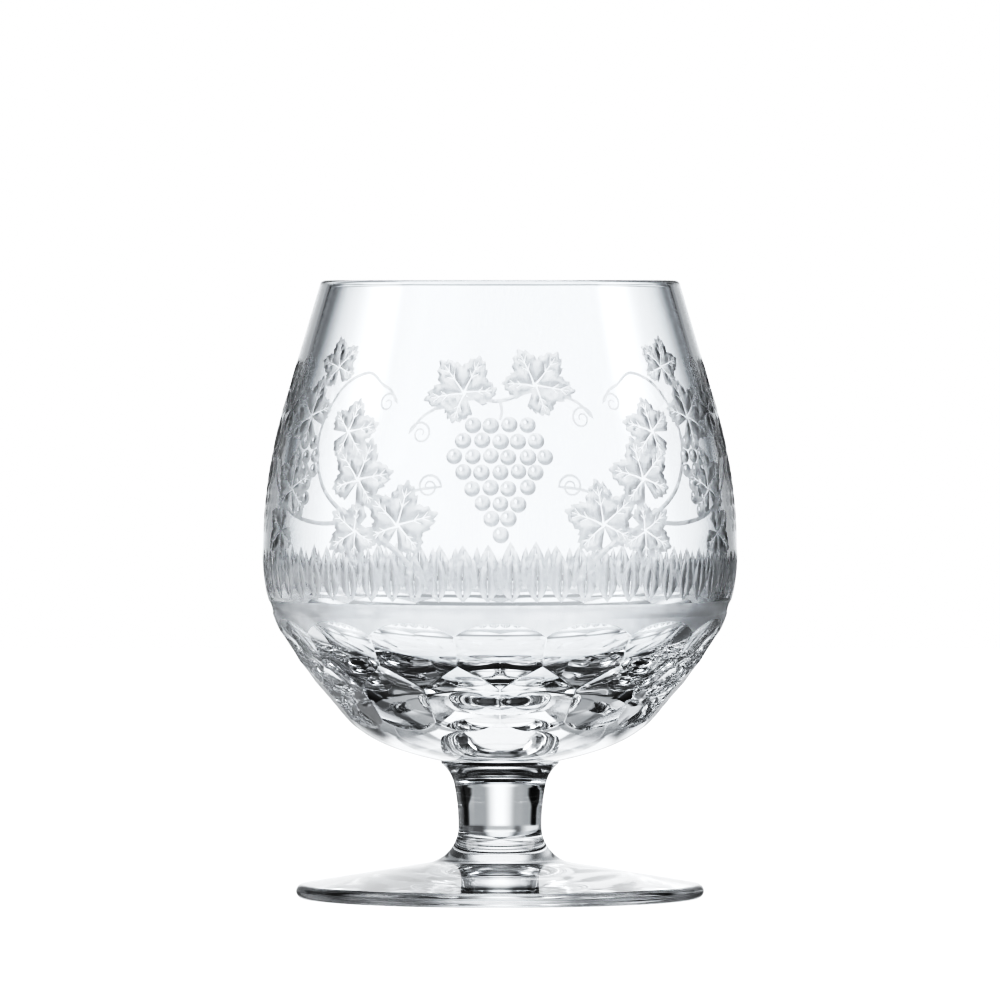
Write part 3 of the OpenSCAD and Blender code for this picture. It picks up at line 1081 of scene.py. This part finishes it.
# %% Brightness round the room, above and below
CORE_LEVEL, SIDES_LEVEL, GAP_LEVEL = 0.76, 0.34, 0.005
FRONT_SHARE, FRONT_TOP_SHARE, BACK_TOP_SHARE = 0.3, 0.01, 0.005
STRIP_LEVEL, STRIP_TOP_LEVEL = 0.8, 0.28
CORNER_LEVEL, LOW_LEVEL = 0.66, 0.14
SIDE_LAMP, SIDE_LAMP_RISE, FLOOR_LAMP = 2.5, 35.0, 0.4

off_panel = degrees_from(4)
narrowing = ramp(rise, 12.0, 18.0, 1.35, 1.0)
flare = product(ramp(rise, 5.0, 10.0, 0.0, 7.0), ramp(rise, 14.0, 19.0, 1.0, 0.0))
panel_core = ramp(product(off_panel, narrowing), 2.0, 21.0, CORE_LEVEL, 0.0)
panel_sides = ramp(total(off_panel, flare), 35.0, 42.0, SIDES_LEVEL, GAP_LEVEL)
panel_level = total(panel_core, panel_sides)
back_up = product(panel_level, ramp(rise, 20.0, 40.0, 1.0, BACK_TOP_SHARE))
front_up = product(panel_level, ramp(rise, 5.0, 30.0, FRONT_SHARE, FRONT_TOP_SHARE))
upper = ramp(far_side, 0.0, 1.0, front_up, back_up)

strips = product(ramp(off_panel, 9.0, 20.0, 1.0, 0.0), ramp(rise, -13.0, -7.0, STRIP_LEVEL, STRIP_TOP_LEVEL))
low_corners = ramp(degrees_from(2, 135.0), 10.0, 30.0, CORNER_LEVEL, LOW_LEVEL)
lower = total(product(strips, far_side), low_corners)

off_lamp = math_node("ABSOLUTE", math_node("SUBTRACT", rise, SIDE_LAMP_RISE))
side_lamps = product(ramp(degrees_from(2), 14.0, 22.0, SIDE_LAMP, 0.0), ramp(off_lamp, 10.0, 15.0, 1.0, 0.0))
off_floor_lamp = degrees_from(4, 45.0)
floor_lamps = product(ramp(off_floor_lamp, 18.0, 26.0, FLOOR_LAMP, 0.0), ramp(rise, -50.0, -42.0, 1.0, 0.0))
brightness = total(total(side_lamps, floor_lamps), ramp(rise, -3.5, -1.5, lower, upper))

# %% What the camera and the glass see
ROOM_WHITE = (0.97, 0.985, 1.0, 1.0)
seen = add_node(room, "ShaderNodeBackground", {"Color": ROOM_WHITE, "Strength": brightness})
backdrop = add_node(room, "ShaderNodeBackground", {"Color": WHITE, "Strength": 1.0})
by_camera = add_node(room, "ShaderNodeLightPath").outputs["Is Camera Ray"]
choose = add_node(room, "ShaderNodeMixShader", {"Fac": by_camera, 1: seen, 2: backdrop})
add_node(room, "ShaderNodeOutputWorld", {"Surface": choose})
print("room:", len(room.nodes), "nodes")

# %% Print tones, and light that gets through many surfaces
PRINT_CURVE = [
    (0.033, 0.006), (0.1, 0.03), (0.214, 0.175), (0.35, 0.455), (0.45, 0.605), (0.6, 0.785), (0.79, 0.908)]
view = scene.view_settings
view.view_transform = "Standard"
view.look = "None"
view.use_curve_mapping = True
tones = view.curve_mapping
for light, printed in PRINT_CURVE:
    tones.curves[3].points.new(light, printed)
tones.update()
scene.cycles.max_bounces = 40
scene.cycles.transmission_bounces = 40
scene.cycles.glossy_bounces = 24
scene.cycles.transparent_max_bounces = 24
print("points of the print curve:", len(tones.curves[3].points))
